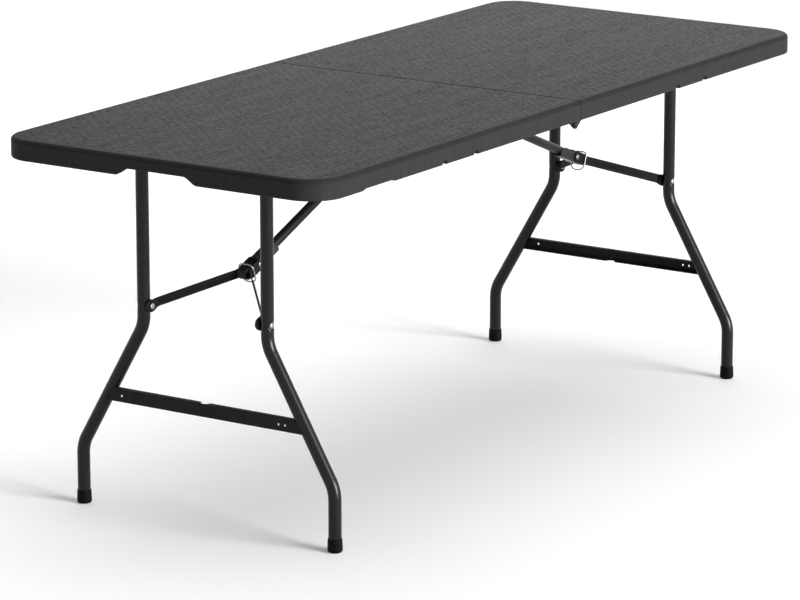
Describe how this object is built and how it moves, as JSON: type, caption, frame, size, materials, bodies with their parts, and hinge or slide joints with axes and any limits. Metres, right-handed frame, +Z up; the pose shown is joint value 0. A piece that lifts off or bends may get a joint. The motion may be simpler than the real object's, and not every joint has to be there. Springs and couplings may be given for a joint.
{
  "type": "folding table",
  "caption": "Portable folding table with a two-part blow-moulded top that folds in the middle, folding tube leg frames and locking braces.",
  "frame": {"origin": "on the floor, under the middle of the top, with the table set up", "axes": "+X along the length towards the right half, +Y towards the back, +Z up"},
  "size_m": [1.8, 0.74, 0.74],
  "materials": {
    "top_plastic": "woven-look moulded grain, matte",
    "black_coat": "satin powder coat on steel",
    "black_plastic": "moulded, slightly glossy",
    "bright_steel": "zinc-plated, bright"
  },
  "bodies": {
    "left_half": {"left_top": "top_plastic", "left_front_rail": "black_coat", "left_back_rail": "black_coat", "left_front_leaf": "black_coat", "left_back_leaf": "black_coat", "left_anchor_rod": "black_coat", "left_rail_screws": "bright_steel", "left_leaf_rivets": "bright_steel", "fold_pins": "bright_steel", "handle_bracket": "black_plastic"},
    "right_half": {"right_top": "top_plastic", "right_front_rail": "black_coat", "right_back_rail": "black_coat", "right_front_leaf": "black_coat", "right_back_leaf": "black_coat", "right_anchor_rod": "black_coat", "right_rail_screws": "bright_steel", "right_leaf_rivets": "bright_steel"},
    "handle": {"carry_handle": "black_plastic"},
    "left_legs": {"left_axle": "black_coat", "left_front_leg": "black_coat", "left_back_leg": "black_coat", "left_crossbar": "black_coat", "left_front_foot": "black_plastic", "left_back_foot": "black_plastic", "left_leg_rivets": "bright_steel"},
    "left_link": {"left_link_tube": "black_coat", "left_link_channel": "black_coat", "left_link_tongue": "black_plastic", "left_link_bush": "black_coat"},
    "left_fork": {"left_front_arm": "black_coat", "left_back_arm": "black_coat", "left_spacers": "black_plastic", "left_arm_rivets": "bright_steel", "left_knee_rivet": "bright_steel"},
    "left_ring": {"left_lock_ring": "bright_steel"},
    "right_legs": {"right_axle": "black_coat", "right_front_leg": "black_coat", "right_back_leg": "black_coat", "right_crossbar": "black_coat", "right_front_foot": "black_plastic", "right_back_foot": "black_plastic", "right_leg_rivets": "bright_steel"},
    "right_link": {"right_link_tube": "black_coat", "right_link_channel": "black_coat", "right_link_tongue": "black_plastic", "right_link_bush": "black_coat"},
    "right_fork": {"right_front_arm": "black_coat", "right_back_arm": "black_coat", "right_spacers": "black_plastic", "right_arm_rivets": "bright_steel", "right_knee_rivet": "bright_steel"},
    "right_ring": {"right_lock_ring": "bright_steel"}
  },
  "joints": [
    {"name": "top_fold", "type": "hinge", "parent": "left_half", "child": "right_half", "pos_m": [0, 0, 0.69], "axis": [0, 1, 0], "range_deg": [0, 90]},
    {"name": "left_leg_fold", "type": "hinge", "parent": "left_half", "child": "left_legs", "pos_m": [-0.748, 0, 0.71], "axis": [0, -1, 0], "range_deg": [0, 90]},
    {"name": "left_link_lift", "type": "hinge", "parent": "left_half", "child": "left_link", "pos_m": [-0.022, 0, 0.71], "axis": [0, 1, 0], "range_deg": [0, 22.11]},
    {"name": "left_knee_turn", "type": "hinge", "parent": "left_link", "child": "left_fork", "pos_m": [-0.58465, 0, 0.48138], "axis": [0, -1, 0], "range_deg": [0, 180]},
    {"name": "left_ring_slide", "type": "slide", "parent": "left_link", "child": "left_ring", "axis": [0.9264, 0, 0.3764], "range_m": [0, 0.15001]},
    {"name": "right_leg_fold", "type": "hinge", "parent": "right_half", "child": "right_legs", "pos_m": [0.748, 0, 0.71], "axis": [0, 1, 0], "range_deg": [0, 90]},
    {"name": "right_link_lift", "type": "hinge", "parent": "right_half", "child": "right_link", "pos_m": [0.022, 0, 0.71], "axis": [0, -1, 0], "range_deg": [0, 22.11]},
    {"name": "right_knee_turn", "type": "hinge", "parent": "right_link", "child": "right_fork", "pos_m": [0.58465, 0, 0.48138], "axis": [0, 1, 0], "range_deg": [0, 180]},
    {"name": "right_ring_slide", "type": "slide", "parent": "right_link", "child": "right_ring", "axis": [-0.9264, 0, 0.3764], "range_m": [0, 0.15001]},
    {"name": "handle_swing", "type": "hinge", "parent": "left_half", "child": "handle", "pos_m": [-0.437, -0.344, 0.7032], "axis": [-1, 0, 0], "range_deg": [0, 180]}
  ],
  "couplings": [
    {"joint": "left_link_lift", "follows": "left_leg_fold", "ratio": 0.24571},
    {"joint": "left_knee_turn", "follows": "left_leg_fold", "ratio": 2},
    {"joint": "left_ring_slide", "follows": "left_leg_fold", "m_per_rad": 0.095493},
    {"joint": "right_link_lift", "follows": "right_leg_fold", "ratio": 0.24571},
    {"joint": "right_knee_turn", "follows": "right_leg_fold", "ratio": 2},
    {"joint": "right_ring_slide", "follows": "right_leg_fold", "m_per_rad": 0.095493}
  ]
}
